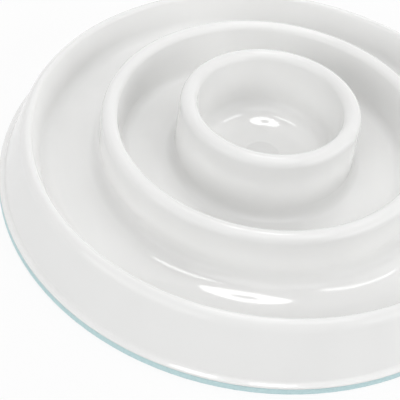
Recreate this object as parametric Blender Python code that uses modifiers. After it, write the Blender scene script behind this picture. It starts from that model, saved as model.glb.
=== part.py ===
"""Low round bowl: a raised centre cup and two ring walls part it into two ring-shaped channels.

The bowl is one moulded plastic shell of even wall, and its ridges are hollow from underneath.
A soft base ring is pressed into a groove under its foot and keeps it from sliding. Sizes are in
millimetres, +Z is up, and the bowl stands on z = 0 with its axis on the Z axis.
"""
import math

import bmesh
import bpy
from mathutils import Vector

MM = 0.001

# Base ring: the soft ring that the bowl stands on, with a tongue on its top
RING_RADIUS = 115.0
RING_BAND = 2.4
RING_LEAN = 0.6
RING_WIDTH = 11.5
RING_EDGE = 0.4
TONGUE_WIDTH = 1.9
TONGUE_HEIGHT = 2.8
TONGUE_FROM_EDGE = 8.2
FIT_GAP = 0.3

# Shell and foot of the bowl: a thin lip stands out over the base ring
WALL = 2.0
SLOT_TIP = 1.0
FOOT_LIP = 0.9
FOOT_LIP_ROUND = 0.5
FOOT_FILLET = 1.2
FOOT_HEIGHT = 4.8
SKIRT_SET_BACK = 2.1

# Outer rim: a crest on its inner side, then a shoulder that slopes to the flared skirt
RIM_SET_BACK = 14.0
RIM_TOP = 23.7
RIM_CREST = 2.2
RIM_DRAFT = math.radians(12.0)
RIM_SLOPE = math.radians(40.0)
SHOULDER_RUN = 1.63
SHOULDER_ROUND = 5.5

# Ring wall between the two channels
MIDDLE_RADIUS = 67.3
MIDDLE_TOP = 28.2
MIDDLE_CREST = 3.4
MIDDLE_DRAFT = math.radians(5.0)

# Centre cup
CUP_RADIUS = 34.5
CUP_TOP = 34.4
CUP_CREST = 3.6
CUP_DRAFT = math.radians(3.5)

# Floors: lowest height, rise towards the walls, and rounding into the walls
OUTER_FLOOR = 5.8
OUTER_RISE = 2.0
OUTER_FILLET = 6.5
INNER_FLOOR = 4.4
INNER_RISE = 1.6
INNER_FILLET = 5.0
CHANNEL_SWEEP = 26.0
CUP_FLOOR = 4.0
CUP_FLAT = 18.2
CUP_RISE = 5.06
CUP_FILLET = 8.0
CUP_SWEEP = 31.0

# Fineness of the turned shapes
TURN_STEPS = 48
TOP_ARC = math.radians(27.0)
UNDER_ARC = math.radians(46.0)


def line_cross(p, u, q, v):
    """Point where the line through p along u meets the line through q along v."""
    den = u.x * v.y - u.y * v.x
    t = ((q.x - p.x) * v.y - (q.y - p.y) * v.x) / den
    return p + u * t


def turned_by(way, angle):
    """The direction swung anticlockwise by an angle."""
    return Vector((way.x * math.cos(angle) - way.y * math.sin(angle),
                   way.x * math.sin(angle) + way.y * math.cos(angle)))


def rounded(corners, arc):
    """Points of an open path whose corners (r, z, fillet) are rounded as far as their sides allow."""
    pts = [Vector(c[:2]) for c in corners]
    sides = [(b - a).length for a, b in zip(pts, pts[1:])]
    turns = [0.0]
    for before, at, after in zip(pts, pts[1:], pts[2:]):
        turns.append((at - before).angle_signed(after - at))
    turns.append(0.0)
    reach = [c[2] * math.tan(abs(t) / 2) for c, t in zip(corners, turns)]
    for i, side in enumerate(sides):
        wanted = reach[i] + reach[i + 1]
        if wanted > side:
            reach[i] *= side / wanted
            reach[i + 1] *= side / wanted
    path = [pts[0]]
    for i in range(1, len(pts) - 1):
        if reach[i] < 0.01:
            path.append(pts[i])
            continue
        way = (pts[i] - pts[i - 1]).normalized()
        radius = reach[i] / math.tan(abs(turns[i]) / 2)
        swing = -turns[i]
        start = pts[i] - way * reach[i]
        centre = start + turned_by(way, math.copysign(math.pi / 2, swing)) * radius
        count = max(1, math.ceil(abs(swing) / arc - 0.01))
        for k in range(count + 1):
            point = centre + turned_by(start - centre, swing * k / count)
            if (point - path[-1]).length > 0.05:
                path.append(point)
    path.append(pts[-1])
    return path


def hollow(inner, outer, top):
    """Roof corners of the hollow inside a ridge, between the offset lines of its two walls."""
    run_in = inner[1].x / inner[1].y
    run_out = outer[1].x / outer[1].y
    roof = top - WALL
    if run_in > run_out:
        gap = (outer[0].x - outer[0].y * run_out) - (inner[0].x - inner[0].y * run_in)
        roof = min(roof, (gap - SLOT_TIP) / (run_in - run_out))
    return [(line[0].x + (roof - line[0].y) * run, roof, WALL)
            for line, run in ((inner, run_in), (outer, run_out))]


def underside(corners, crests):
    """Corners one wall thickness below a path, with a hollow under each pair of crest corners."""
    pts = [Vector(c[:2]) for c in corners]
    ways = [(b - a).normalized() for a, b in zip(pts, pts[1:])]
    lines = [(p + Vector((w.y, -w.x)) * WALL, w) for p, w in zip(pts, ways)]
    result = [(lines[0][0].x, lines[0][0].y, 0.0)]
    for i in range(1, len(pts) - 1):
        if i in crests:
            top = min(corners[i][1], corners[i + 1][1])
            result += hollow(lines[i - 1], lines[i + 1], top)
        elif i - 1 not in crests:
            spot = line_cross(*lines[i - 1], *lines[i])
            result.append((spot.x, spot.y, corners[i][2] + WALL))
    end = lines[-1][0] + pts[-1] - pts[-2]
    return result + [(end.x, end.y, 0.0)]


def ridge(radius, top, crest, draft, inner_foot, outer_foot):
    """Corners of a round-topped ring wall, between the floor heights on its two sides."""
    lean = math.tan(draft)
    level = top - crest
    inner = radius - crest
    outer = radius + crest
    return ((inner - (level - inner_foot) * lean, inner_foot),
            (inner + crest * lean, top),
            (outer - crest * lean, top),
            (outer + (level - outer_foot) * lean, outer_foot))


def rim_and_skirt(floor_edge, lip_top):
    """Corners of the rim, from the outer channel's floor edge to the foot of the skirt."""
    level = RIM_TOP - RIM_CREST
    centre = Vector((RING_RADIUS - RIM_SET_BACK, level))
    slope = Vector((math.cos(RIM_SLOPE), -math.sin(RIM_SLOPE)))
    wall_way = Vector((math.sin(RIM_DRAFT), math.cos(RIM_DRAFT)))
    wall_point = centre + Vector((-wall_way.y, wall_way.x)) * RIM_CREST
    slope_point = centre + Vector((-slope.y, slope.x)) * RIM_CREST
    skirt_foot = Vector((RING_RADIUS - RING_LEAN - SKIRT_SET_BACK, lip_top))
    floor_point = Vector((0.0, floor_edge))
    return (line_cross(wall_point, wall_way, floor_point, Vector((1.0, 0.0))),
            line_cross(wall_point, wall_way, slope_point, slope),
            slope_point + slope * SHOULDER_RUN,
            skirt_foot)


def bowl_section():
    """Half-section of the bowl: the top side outward, the foot, then the underside back in."""
    inner_edge = INNER_FLOOR + INNER_RISE
    outer_edge = OUTER_FLOOR + OUTER_RISE
    bottom = RING_BAND + FIT_GAP
    lip = RING_RADIUS - RING_LEAN
    lip_top = bottom + FOOT_LIP
    cup = ridge(CUP_RADIUS, CUP_TOP, CUP_CREST, CUP_DRAFT, CUP_FLOOR + CUP_RISE, inner_edge)
    middle = ridge(MIDDLE_RADIUS, MIDDLE_TOP, MIDDLE_CREST, MIDDLE_DRAFT, inner_edge, outer_edge)
    rim = rim_and_skirt(outer_edge, lip_top)
    inner_mid = (cup[3][0] + middle[0][0]) / 2
    outer_mid = (middle[3][0] + rim[0].x) / 2
    shell = [(0.0, CUP_FLOOR, 0.0),
             (CUP_FLAT, CUP_FLOOR, CUP_SWEEP),
             (*cup[0], CUP_FILLET),
             (*cup[1], CUP_CREST),
             (*cup[2], CUP_CREST),
             (*cup[3], INNER_FILLET),
             (inner_mid, INNER_FLOOR, CHANNEL_SWEEP),
             (*middle[0], INNER_FILLET),
             (*middle[1], MIDDLE_CREST),
             (*middle[2], MIDDLE_CREST),
             (*middle[3], OUTER_FILLET),
             (outer_mid, OUTER_FLOOR, CHANNEL_SWEEP),
             (*rim[0], OUTER_FILLET),
             (*rim[1], RIM_CREST),
             (*rim[2], SHOULDER_ROUND),
             (*rim[3], FOOT_FILLET)]
    crests = [shell.index((*corner, fillet)) for corner, fillet in
              ((cup[1], CUP_CREST), (middle[1], MIDDLE_CREST), (rim[1], RIM_CREST))]
    top_side = shell + [(lip, lip_top, FOOT_LIP_ROUND), (lip, bottom, 0.0)]

    groove_outer = RING_RADIUS - TONGUE_FROM_EDGE + FIT_GAP
    groove_inner = groove_outer - TONGUE_WIDTH - 2 * FIT_GAP
    groove_top = RING_BAND + TONGUE_HEIGHT + FIT_GAP
    foot_inner = groove_inner - WALL
    foot_top = bottom + FOOT_HEIGHT
    foot = [(groove_outer, bottom), (groove_outer, groove_top),
            (groove_inner, groove_top), (groove_inner, bottom),
            (foot_inner, bottom), (foot_inner, foot_top)]

    under = underside(shell, crests)
    roof = Vector(under[-2][:2])
    skirt_way = Vector(under[-1][:2]) - roof
    landing = line_cross(roof, skirt_way, Vector((foot_inner, foot_top)), Vector((1.0, 0.0)))
    under[-1] = (landing.x, landing.y, 0.0)
    under_side = rounded(under, UNDER_ARC)
    return rounded(top_side, TOP_ARC) + [Vector(p) for p in foot] + under_side[::-1]


def ring_section():
    """Half-section of the base ring: leaning band, flat underside, tongue on top."""
    outer = RING_RADIUS
    inner = outer - RING_WIDTH
    tongue_outer = outer - TONGUE_FROM_EDGE
    tongue_inner = tongue_outer - TONGUE_WIDTH
    tongue_top = RING_BAND + TONGUE_HEIGHT
    corners = [(tongue_outer, RING_BAND, 0.0),
               (outer - RING_LEAN, RING_BAND, RING_EDGE),
               (outer, 0.0, RING_EDGE),
               (inner, 0.0, RING_EDGE),
               (inner, RING_BAND, RING_EDGE),
               (tongue_inner, RING_BAND, 0.0),
               (tongue_inner, tongue_top, RING_EDGE),
               (tongue_outer, tongue_top, RING_EDGE),
               (tongue_outer, RING_BAND, 0.0)]
    return rounded(corners, UNDER_ARC)[:-1]


def turned(name, section, closed, collection, material):
    """One solid turned about the Z axis from its half-section in millimetres."""
    bm = bmesh.new()
    verts = [bm.verts.new((p.x * MM, 0.0, p.y * MM)) for p in section]
    pairs = list(zip(verts, verts[1:]))
    if closed:
        pairs.append((verts[-1], verts[0]))
    for pair in pairs:
        bm.edges.new(pair)
    mesh = bpy.data.meshes.new(name)
    bm.to_mesh(mesh)
    bm.free()
    obj = bpy.data.objects.new(name, mesh)
    collection.objects.link(obj)
    screw = obj.modifiers.new("turn", "SCREW")
    screw.axis = "Z"
    screw.angle = math.tau
    screw.steps = TURN_STEPS
    screw.render_steps = TURN_STEPS
    screw.use_merge_vertices = True
    screw.merge_threshold = 0.00001
    bpy.context.view_layer.objects.active = obj
    bpy.ops.object.modifier_apply(modifier=screw.name)
    bm = bmesh.new()
    bm.from_mesh(obj.data)
    bmesh.ops.remove_doubles(bm, verts=bm.verts, dist=0.00001)
    bmesh.ops.recalc_face_normals(bm, faces=bm.faces)
    bm.to_mesh(obj.data)
    bm.free()
    obj.data.shade_smooth()
    obj.data.set_sharp_from_angle(angle=math.radians(50))
    obj.data.materials.append(material)
    return obj


def plastic(name, colour, roughness):
    """Plain surface of the given linear colour."""
    material = bpy.data.materials.new(name)
    material.use_nodes = True
    shader = material.node_tree.nodes["Principled BSDF"]
    shader.inputs["Base Color"].default_value = (*colour, 1.0)
    shader.inputs["Roughness"].default_value = roughness
    shader.inputs["Metallic"].default_value = 0.0
    return material


for old in list(bpy.data.objects):
    bpy.data.objects.remove(old, do_unlink=True)

bowl_parts = bpy.data.collections.new("channel_bowl")
bpy.context.scene.collection.children.link(bowl_parts)

# The bowl: one injection-moulded shell in glossy white plastic
turned("bowl", bowl_section(), False, bowl_parts,
       plastic("white_moulded_plastic", (0.84, 0.84, 0.82), 0.16))

# The base ring: soft pale blue moulded rubber, its tongue pressed into the groove of the foot
turned("base_ring", ring_section(), True, bowl_parts,
       plastic("pale_blue_soft_rubber", (0.47, 0.61, 0.64), 0.6))
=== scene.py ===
"""Concentric channel bowl: a glossy white moulded bowl on a soft pale blue base ring, on a pale floor."""

import math

import bmesh
import bpy
from mathutils import Matrix


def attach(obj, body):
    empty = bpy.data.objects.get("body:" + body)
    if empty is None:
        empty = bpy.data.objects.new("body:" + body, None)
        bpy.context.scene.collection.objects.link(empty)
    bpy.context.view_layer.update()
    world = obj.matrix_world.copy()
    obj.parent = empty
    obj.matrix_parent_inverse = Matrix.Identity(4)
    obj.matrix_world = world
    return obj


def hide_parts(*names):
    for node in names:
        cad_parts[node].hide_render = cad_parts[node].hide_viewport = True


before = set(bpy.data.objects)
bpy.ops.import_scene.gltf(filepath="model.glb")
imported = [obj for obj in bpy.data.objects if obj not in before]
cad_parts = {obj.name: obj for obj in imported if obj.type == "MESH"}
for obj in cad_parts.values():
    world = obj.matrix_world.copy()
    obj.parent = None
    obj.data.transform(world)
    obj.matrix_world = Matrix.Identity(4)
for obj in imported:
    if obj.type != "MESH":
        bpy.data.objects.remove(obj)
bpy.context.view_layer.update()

# ---------------------------------------------------------------------------------------------
# The bowl: one injection-moulded shell of white ABS, about 2 mm thick. A centre cup, a ring wall
# and the rim stand up from its floors as hollow ridges, and a skirt flares down to a thin foot lip.
# It stands on the base ring, whose tongue is pressed into the groove under the foot.
MM = 0.001
TURN_STEPS = 128
FILLET_STEP = math.radians(6.0)
SHARP_ANGLE = math.radians(40.0)
MERGE_GAP = 0.001 * MM

# Corners of the half-section, from the axis outwards on top and back to it underneath: radius, height
# and rounding in millimetres. The gate mark is a shallow disc with an edge that is as long as its rounding.
CUP_FLOOR = 4.0
GATE_MARK_RADIUS = 8.0
GATE_MARK_DEPTH = 0.12
GATE_MARK_EDGE = 0.9
BOWL_TOP_SIDE = [
    # Centre cup, with the gate mark in its floor
    (0.0, CUP_FLOOR - GATE_MARK_DEPTH, 0.0),
    (GATE_MARK_RADIUS - GATE_MARK_EDGE, CUP_FLOOR - GATE_MARK_DEPTH, GATE_MARK_EDGE),
    (GATE_MARK_RADIUS, CUP_FLOOR, GATE_MARK_EDGE),
    (18.2, CUP_FLOOR, 31.0),
    (29.57, 9.06, 8.0),
    (31.12, 34.4, 3.6),
    (37.88, 34.4, 3.6),
    # Inner channel
    (39.62, 6.0, 5.0),
    (50.94, 4.4, 26.0),
    (62.26, 6.0, 5.0),
    # Ring wall
    (64.20, 28.2, 3.4),
    (70.40, 28.2, 3.4),
    # Outer channel
    (72.19, 7.8, 6.5),
    (84.01, 5.8, 26.0),
    (95.84, 7.8, 6.5),
    # Rim, skirt and foot lip
    (99.61, 25.54, 2.2),
    (103.66, 22.14, 5.5),
    (112.30, 3.6, 1.2),
    (114.40, 3.6, 0.5),
    (114.40, 2.7, 0.2),
    (107.10, 2.7, 0.0),
]
BOWL_UNDERSIDE = [
    # Foot, with the groove for the base ring's tongue
    (107.10, 2.7, 0.0),
    (107.10, 5.5, 0.0),
    (104.60, 5.5, 0.0),
    (104.60, 2.7, 0.0),
    (102.60, 2.7, 0.0),
    (102.60, 7.5, 0.0),
    # Hollow of the rim
    (108.28, 7.5, 0.0),
    (102.39, 20.14, 0.9),
    (100.51, 20.14, 0.9),
    (97.51, 6.05, 8.5),
    # Outer channel
    (84.01, 3.77, 28.0),
    (70.33, 6.09, 8.5),
    # Hollow of the ring wall
    (68.57, 26.2, 1.2),
    (66.03, 26.2, 1.2),
    (64.11, 4.24, 7.0),
    # Inner channel
    (50.94, 2.38, 28.0),
    (37.72, 4.25, 7.0),
    # Hollow of the cup's wall, and the cup's floor
    (36.00, 32.4, 1.4),
    (33.00, 32.4, 1.4),
    (31.49, 7.73, 10.0),
    (18.62, 2.0, 33.0),
    (0.0, 2.0, 0.0),
]


def turned_section(corners, closed=False):
    """A bmesh of a half-section with its corners rounded, spun about the Z axis."""
    bm = bmesh.new()
    verts = [bm.verts.new((r * MM, 0.0, z * MM)) for r, z, _ in corners]
    for start, end in zip(verts, verts[1:] + verts[:1] if closed else verts[1:]):
        bm.edges.new((start, end))
    for vert, (_, _, fillet) in zip(verts, corners):
        if not fillet:
            continue
        before, after = [edge.other_vert(vert).co - vert.co for edge in vert.link_edges]
        turn = math.pi - before.angle(after)
        bmesh.ops.bevel(bm, geom=[vert], offset=fillet * MM * math.tan(turn / 2), offset_type="OFFSET",
                        segments=max(2, math.ceil(turn / FILLET_STEP)), profile=0.5,
                        affect="VERTICES", material=-1, clamp_overlap=False)
    bmesh.ops.spin(bm, geom=bm.verts[:] + bm.edges[:], cent=(0, 0, 0), axis=(0, 0, 1), dvec=(0, 0, 0),
                   angle=math.tau, steps=TURN_STEPS, use_merge=True, use_normal_flip=False,
                   use_duplicate=False)
    return bm


def finished_piece(name, sides, materials):
    """Joins the turned sides of a piece, one material each, into one closed smooth object."""
    mesh = bpy.data.meshes.new(name)
    whole = bmesh.new()
    for index, side in enumerate(sides):
        for face in side.faces:
            face.material_index = index
        side.to_mesh(mesh)
        side.free()
        whole.from_mesh(mesh)
    bmesh.ops.remove_doubles(whole, verts=whole.verts, dist=MERGE_GAP)
    bmesh.ops.recalc_face_normals(whole, faces=whole.faces)
    whole.to_mesh(mesh)
    whole.free()
    mesh.shade_smooth()
    mesh.set_sharp_from_angle(angle=SHARP_ANGLE)
    for material in materials:
        mesh.materials.append(material)
    piece = bpy.data.objects.new(name, mesh)
    bpy.context.scene.collection.objects.link(piece)
    return piece


def srgb(code):
    """Linear colour of an sRGB hex value."""
    parts = [int(code[i:i + 2], 16) / 255 for i in (1, 3, 5)]
    return [p / 12.92 if p <= 0.04045 else ((p + 0.055) / 1.055) ** 2.4 for p in parts] + [1.0]


def add_node(tree, kind, links=(), **settings):
    """Adds a node, sets its properties and inputs by name, and links (output, input) pairs to it."""
    node = tree.nodes.new(kind)
    for name, value in settings.items():
        socket = node.inputs.get(name.replace("_", " "))
        if socket is None:
            setattr(node, name, value)
        else:
            socket.default_value = value
    for output, name in links:
        tree.links.new(output, node.inputs[name])
    return node


def new_material(name):
    """An empty node material and its node tree."""
    material = bpy.data.materials.new(name)
    material.use_nodes = True
    material.node_tree.nodes.clear()
    return material, material.node_tree


# White ABS from a polished mould: a deep gloss with the faint waviness of cooled plastic, a tone and
# polish that drift very slightly where the melt flowed, and a duller round mark where it came in
GATE_BLUSH = 0.93
white_abs, tree = new_material("abs_white_polished_mould")
where = add_node(tree, "ShaderNodeTexCoord").outputs["Object"]
flow = add_node(tree, "ShaderNodeTexNoise", [(where, "Vector")], Scale=1 / (40 * MM), Detail=2.0)
tone = add_node(tree, "ShaderNodeValToRGB", [(flow.outputs["Fac"], "Fac")])
for stop, place, code in zip(tone.color_ramp.elements, (0.3, 0.7), ("#ECECEB", "#EFEFEE")):
    stop.position, stop.color = place, srgb(code)
flat = add_node(tree, "ShaderNodeVectorMath", [(where, 0)], operation="MULTIPLY")
flat.inputs[1].default_value = (1.0, 1.0, 0.0)
from_axis = add_node(tree, "ShaderNodeVectorMath", [(flat.outputs["Vector"], 0)], operation="LENGTH")
blush = add_node(tree, "ShaderNodeMapRange", [(from_axis.outputs["Value"], "Value")],
                 From_Min=(GATE_MARK_RADIUS - GATE_MARK_EDGE) * MM, From_Max=GATE_MARK_RADIUS * MM,
                 To_Min=GATE_BLUSH, To_Max=1.0)
tint = add_node(tree, "ShaderNodeVectorMath",
                [(tone.outputs["Color"], 0), (blush.outputs["Result"], "Scale")], operation="SCALE")
polish = add_node(tree, "ShaderNodeMapRange", [(flow.outputs["Fac"], "Value")], To_Min=0.045, To_Max=0.07)
peel = add_node(tree, "ShaderNodeTexNoise", [(where, "Vector")], Scale=1 / (9 * MM), Detail=1.0)
wave = add_node(tree, "ShaderNodeBump", [(peel.outputs["Fac"], "Height")], Strength=0.12, Distance=0.05 * MM)
shader = add_node(tree, "ShaderNodeBsdfPrincipled",
                  [(tint.outputs["Vector"], "Base Color"), (polish.outputs["Result"], "Roughness"),
                   (wave.outputs["Normal"], "Normal")], IOR=1.52)
add_node(tree, "ShaderNodeOutputMaterial", [(shader.outputs["BSDF"], "Surface")])

# The same ABS from the plain core side of the mould, which leaves a satin skin underneath. Its grain,
# taken to be about 0.1 mm, is drawn coarser so that it shows
satin_abs, tree = new_material("abs_white_satin_core_side")
where = add_node(tree, "ShaderNodeTexCoord").outputs["Object"]
flow = add_node(tree, "ShaderNodeTexNoise", [(where, "Vector")], Scale=1 / (40 * MM), Detail=2.0)
tone = add_node(tree, "ShaderNodeValToRGB", [(flow.outputs["Fac"], "Fac")])
for stop, place, code in zip(tone.color_ramp.elements, (0.3, 0.7), ("#E7E8E6", "#EBEBE9")):
    stop.position, stop.color = place, srgb(code)
grain = add_node(tree, "ShaderNodeTexNoise", [(where, "Vector")], Scale=1 / (1.2 * MM), Detail=3.0)
skin = add_node(tree, "ShaderNodeBump", [(grain.outputs["Fac"], "Height")], Strength=0.25, Distance=0.05 * MM)
shader = add_node(tree, "ShaderNodeBsdfPrincipled",
                  [(tone.outputs["Color"], "Base Color"), (skin.outputs["Normal"], "Normal")],
                  Roughness=0.42, IOR=1.52)
add_node(tree, "ShaderNodeOutputMaterial", [(shader.outputs["BSDF"], "Surface")])

bowl = finished_piece("bowl_moulding", [turned_section(BOWL_TOP_SIDE), turned_section(BOWL_UNDERSIDE)],
                      [white_abs, satin_abs])
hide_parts("bowl")
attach(bowl, "root")

# ---------------------------------------------------------------------------------------------
# The base ring: soft thermoplastic rubber, moulded in pale blue with a fine matt grain. Its outer
# band leans in to the foot lip, and the tongue on its top is pressed into the bowl's groove.
BASE_RING = [
    (106.8, 2.4, 0.0),
    (114.4, 2.4, 0.4),
    (115.0, 0.0, 0.4),
    (103.5, 0.0, 0.4),
    (103.5, 2.4, 0.4),
    (104.9, 2.4, 0.0),
    (104.9, 5.2, 0.4),
    (106.8, 5.2, 0.4),
]

# Thermoplastic rubber from an etched mould: an even pale blue without a mirror image. Its grain, taken
# to be about 0.2 mm, is drawn coarser so that it shows
blue_rubber, tree = new_material("tpr_pale_blue_moulded")
where = add_node(tree, "ShaderNodeTexCoord").outputs["Object"]
grit = add_node(tree, "ShaderNodeTexNoise", [(where, "Vector")], Scale=1 / (0.9 * MM), Detail=2.0)
tone = add_node(tree, "ShaderNodeValToRGB", [(grit.outputs["Fac"], "Fac")])
for stop, place, code in zip(tone.color_ramp.elements, (0.3, 0.7), ("#BAD5D8", "#C4DDDF")):
    stop.position, stop.color = place, srgb(code)
matt = add_node(tree, "ShaderNodeBump", [(grit.outputs["Fac"], "Height")], Strength=0.35, Distance=0.06 * MM)
shader = add_node(tree, "ShaderNodeBsdfPrincipled",
                  [(tone.outputs["Color"], "Base Color"), (matt.outputs["Normal"], "Normal")],
                  Roughness=0.6, IOR=1.5)
add_node(tree, "ShaderNodeOutputMaterial", [(shader.outputs["BSDF"], "Surface")])

base_ring = finished_piece("base_ring_moulding", [turned_section(BASE_RING, closed=True)], [blue_rubber])
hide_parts("base_ring")
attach(base_ring, "root")

# ---------------------------------------------------------------------------------------------
# Pale floor under the bowl. To the camera and in the gloss a share of it, the glow, is plain white, and
# the rest is matt paint that keeps the bowl's soft shadow.
FLOOR_SIZE = 6.0
FLOOR_GLOW = 0.85


def seen_ray(tree, strength):
    """A socket that holds the strength for camera, mirrored and transmitted rays, and 0 for the rest."""
    path = add_node(tree, "ShaderNodeLightPath").outputs
    gloss = add_node(tree, "ShaderNodeMath",
                     [(path["Is Glossy Ray"], 0), (path["Is Transmission Ray"], 1)], operation="MAXIMUM")
    seen = add_node(tree, "ShaderNodeMath",
                    [(path["Is Camera Ray"], 0), (gloss.outputs[0], 1)], operation="MAXIMUM")
    scaled = add_node(tree, "ShaderNodeMath", [(seen.outputs[0], 0)], operation="MULTIPLY")
    scaled.inputs[1].default_value = strength
    return scaled.outputs[0]


floor_paint, tree = new_material("floor_matt_white_paint")
paint = add_node(tree, "ShaderNodeBsdfDiffuse", Color=srgb("#F4F4F4"))
glow = add_node(tree, "ShaderNodeEmission", Color=srgb("#FFFFFF"), Strength=1.0)
mix = add_node(tree, "ShaderNodeMixShader",
               [(seen_ray(tree, FLOOR_GLOW), 0), (paint.outputs[0], 1), (glow.outputs[0], 2)])
add_node(tree, "ShaderNodeOutputMaterial", [(mix.outputs[0], "Surface")])
bm = bmesh.new()
bmesh.ops.create_grid(bm, x_segments=1, y_segments=1, size=FLOOR_SIZE / 2)
mesh = bpy.data.meshes.new("floor")
bm.to_mesh(mesh)
bm.free()
mesh.materials.append(floor_paint)
floor = bpy.data.objects.new("floor", mesh)
bpy.context.scene.collection.objects.link(floor)

# ---------------------------------------------------------------------------------------------
# Studio light: an even white surround, a ceiling panel, a soft box overhead, one at the front left, one
# at the right and a panel behind. Each side box is doubled by a fill that the gloss doesn't show, which
# keeps its mirror image faint. A ring lamp and a strip on each side of it make the sharp highlights.
WORLD_LEVEL = 0.22
world = bpy.data.worlds.new("white_surround")
bpy.context.scene.world = world
world.use_nodes = True
tree = world.node_tree
tree.nodes.clear()
surround = add_node(tree, "ShaderNodeBackground", Color=srgb("#FFFFFF"), Strength=WORLD_LEVEL)
white = add_node(tree, "ShaderNodeBackground", Color=srgb("#FFFFFF"), Strength=1.0)
mix = add_node(tree, "ShaderNodeMixShader",
               [(seen_ray(tree, 1.0), 0), (surround.outputs[0], 1), (white.outputs[0], 2)])
add_node(tree, "ShaderNodeOutputWorld", [(mix.outputs[0], "Surface")])


def lamp(name, azimuth, elevation, distance, size, radiance, tilt=0.0, gloss=True, shape="RECTANGLE"):
    """An area lamp facing the bowl, placed by its azimuth (degrees from +Y towards +X), elevation and
    distance from the bowl. Sizes are in metres, and the tilt turns the lamp about its own axis."""
    data = bpy.data.lights.new(name, "AREA")
    data.shape = shape
    data.size, data.size_y = size
    data.energy = radiance * math.pi * size[0] * size[1] * (math.pi / 4 if shape == "ELLIPSE" else 1.0)
    obj = bpy.data.objects.new(name, data)
    bpy.context.scene.collection.objects.link(obj)
    obj.visible_glossy = gloss
    obj.matrix_world = (Matrix.Rotation(math.radians(-azimuth), 4, "Z")
                        @ Matrix.Rotation(math.radians(elevation - 90), 4, "X")
                        @ Matrix.Translation((0.0, 0.0, distance))
                        @ Matrix.Rotation(math.radians(tilt), 4, "Z"))
    return data


lamp("ceiling_panel", 180.0, 90.0, 1.1, (2.0, 2.0), 0.36)
lamp("overhead_box", 150.0, 72.0, 1.2, (0.9, 0.7), 1.2)
lamp("left_box", -145.0, 25.0, 1.2, (1.15, 0.45), 1.1)
lamp("left_box_fill", -145.0, 25.0, 1.2, (1.15, 0.45), 2.4, gloss=False)
lamp("right_box", 100.0, 24.0, 1.2, (1.35, 0.42), 1.1)
lamp("right_box_fill", 100.0, 24.0, 1.2, (1.35, 0.42), 2.5, gloss=False)
lamp("back_panel", -5.0, 18.0, 1.2, (1.6, 0.35), 3.6, gloss=False)
lamp("left_strip", -38.0, 73.8, 1.1, (0.042, 0.28), 4.9, tilt=22.5)
lamp("right_strip", 44.0, 60.7, 1.1, (0.042, 0.30), 4.9, tilt=12.3)
ring_lamp = lamp("ring_lamp", 4.0, 69.5, 1.1, (0.27, 0.27), 7.0, shape="ELLIPSE")

# The ring lamp's dark centre, in shares of the lamp's width
RING_LAMP_CENTRE = (0.5, 0.5, 0.0)
RING_LAMP_HOLE_RADIUS = 0.15
ring_lamp.use_nodes = True
tree = ring_lamp.node_tree
tree.nodes.clear()
spot = add_node(tree, "ShaderNodeNewGeometry").outputs["Parametric"]
away = add_node(tree, "ShaderNodeVectorMath", [(spot, 0)], operation="DISTANCE")
away.inputs[1].default_value = RING_LAMP_CENTRE
lit = add_node(tree, "ShaderNodeMath", [(away.outputs["Value"], 0)], operation="GREATER_THAN")
lit.inputs[1].default_value = RING_LAMP_HOLE_RADIUS
shine = add_node(tree, "ShaderNodeEmission", [(lit.outputs[0], "Strength")])
add_node(tree, "ShaderNodeOutputLight", [(shine.outputs[0], "Surface")])

# ---------------------------------------------------------------------------------------------
# Camera at the photograph's viewing angle: near, looking down at 47 degrees and rolled slightly
CAMERA_LENS = 61.31
CAMERA_SENSOR = 36.0
CAMERA_PLACE = (0.0, -0.22655, 0.21195)
CAMERA_YAW = -0.112674
CAMERA_PITCH = 0.824028
CAMERA_ROLL = -0.100878
eye = bpy.data.cameras.new("camera")
eye.lens = CAMERA_LENS
eye.sensor_width = CAMERA_SENSOR
eye.clip_start = 0.01
camera = bpy.data.objects.new("camera", eye)
bpy.context.scene.collection.objects.link(camera)
camera.matrix_world = (Matrix.Translation(CAMERA_PLACE) @ Matrix.Rotation(-CAMERA_YAW, 4, "Z")
                       @ Matrix.Rotation(math.pi / 2 - CAMERA_PITCH, 4, "X")
                       @ Matrix.Rotation(-CAMERA_ROLL, 4, "Z"))
bpy.context.scene.camera = camera
bpy.context.scene.view_settings.view_transform = "Standard"
